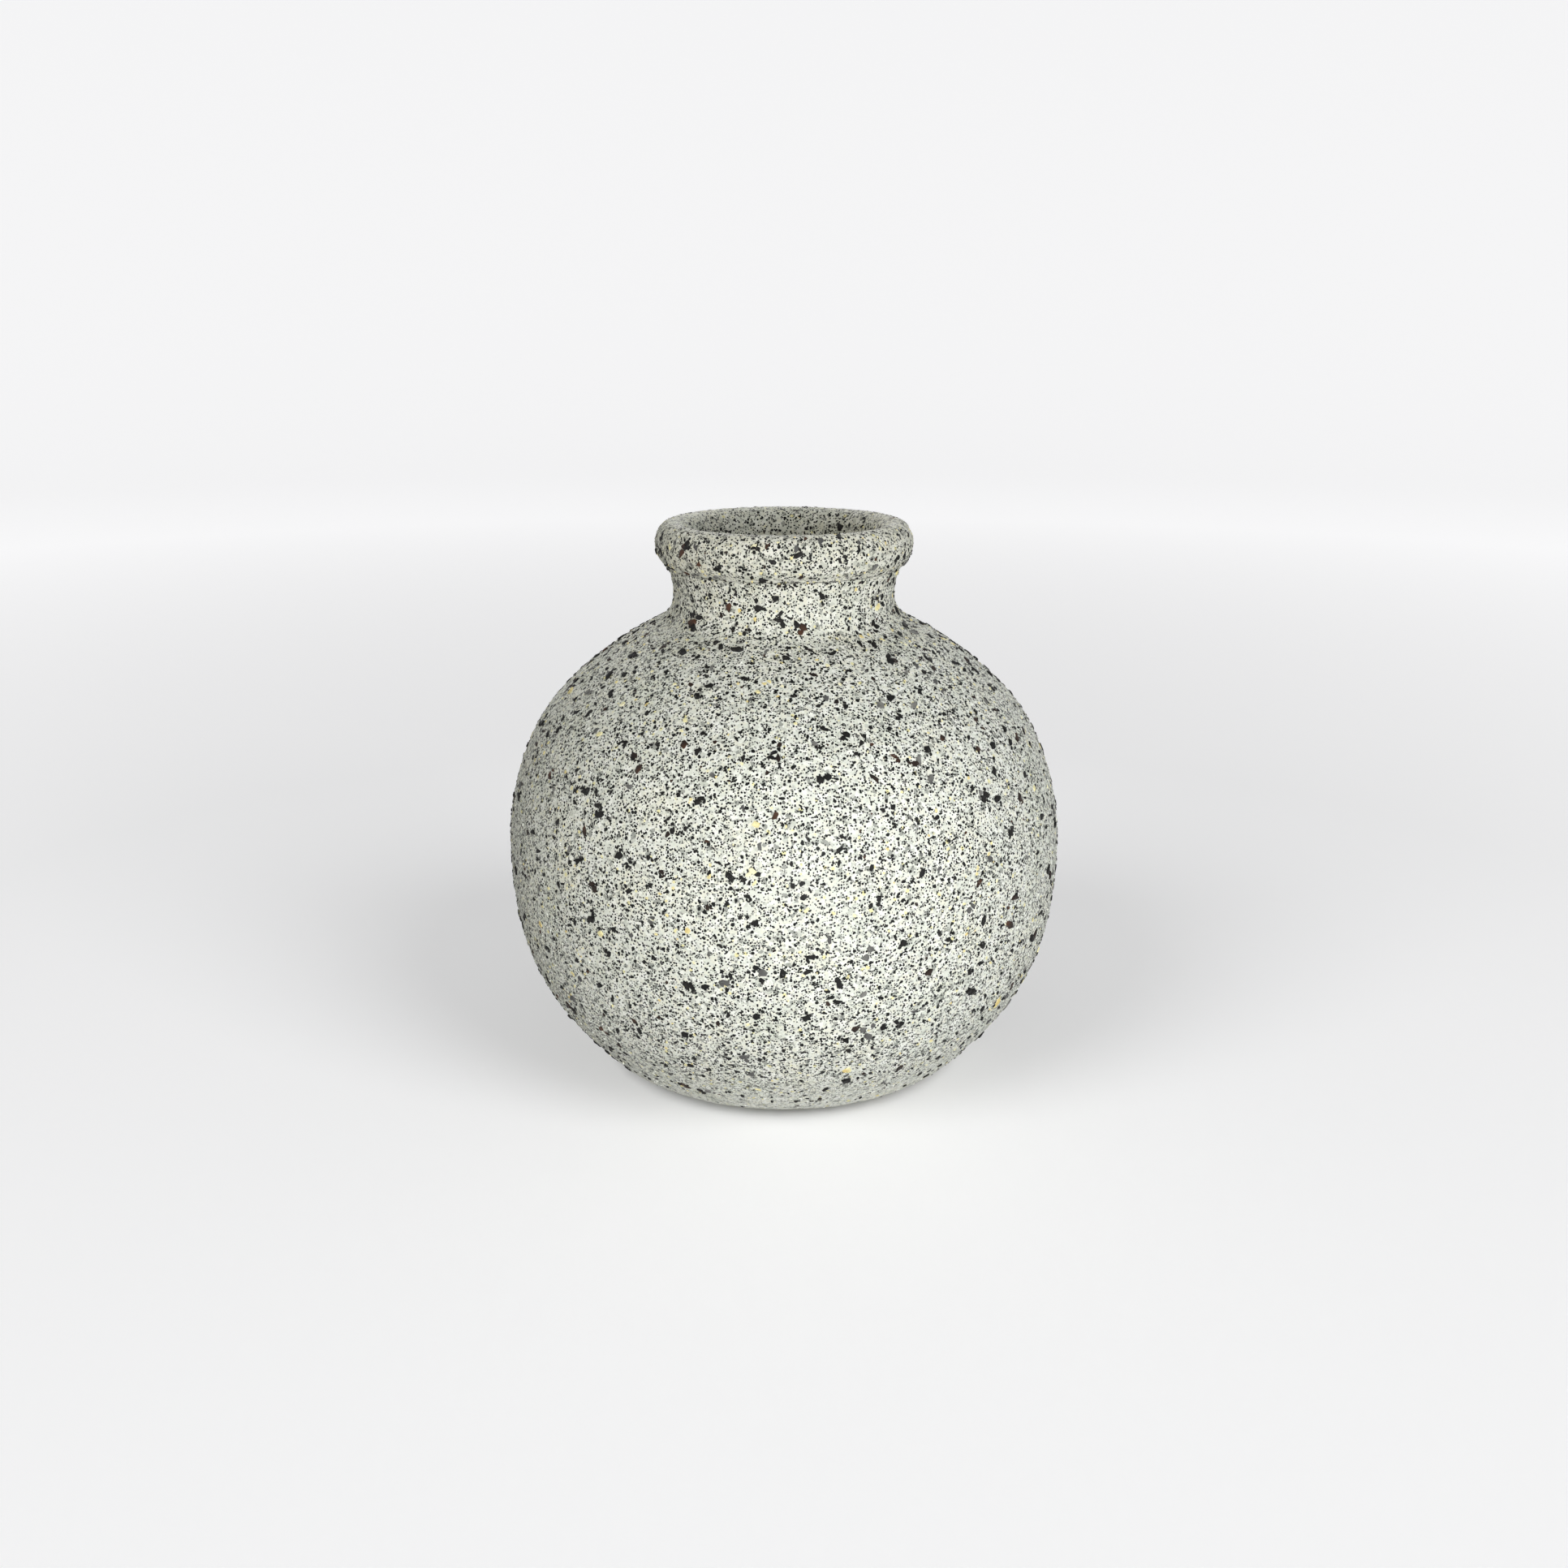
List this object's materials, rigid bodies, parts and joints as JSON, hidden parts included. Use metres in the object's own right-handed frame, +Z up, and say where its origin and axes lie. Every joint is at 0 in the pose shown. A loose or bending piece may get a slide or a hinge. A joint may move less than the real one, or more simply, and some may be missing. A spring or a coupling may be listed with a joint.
{
  "type": "bud vase",
  "caption": "Round-bellied ceramic bud vase with a short flared neck, a thick rounded rim and a speckled stone-effect coat.",
  "frame": {"origin": "centre of the foot, on the plane the vase stands on", "axes": "+Z up along the vase's axis of revolution, out of the mouth; +Y away from the viewer who faces the front, +X to their right"},
  "size_m": [0.1016, 0.1014, 0.1],
  "materials": {
    "fired_clay": "unglazed, matt",
    "stone_coat": "matt, gritty",
    "liner_glaze": "glossy",
    "black_chip": "dull sheen",
    "brown_chip": "dull sheen",
    "grey_chip": "matt",
    "ochre_chip": "matt"
  },
  "bodies": {
    "root": {"ceramic_body": "fired_clay", "stone_coat": "stone_coat", "liner_glaze": "liner_glaze", "black_chips": "black_chip", "brown_chips": "brown_chip", "grey_chips": "grey_chip", "ochre_chips": "ochre_chip"}
  },
  "joints": []
}
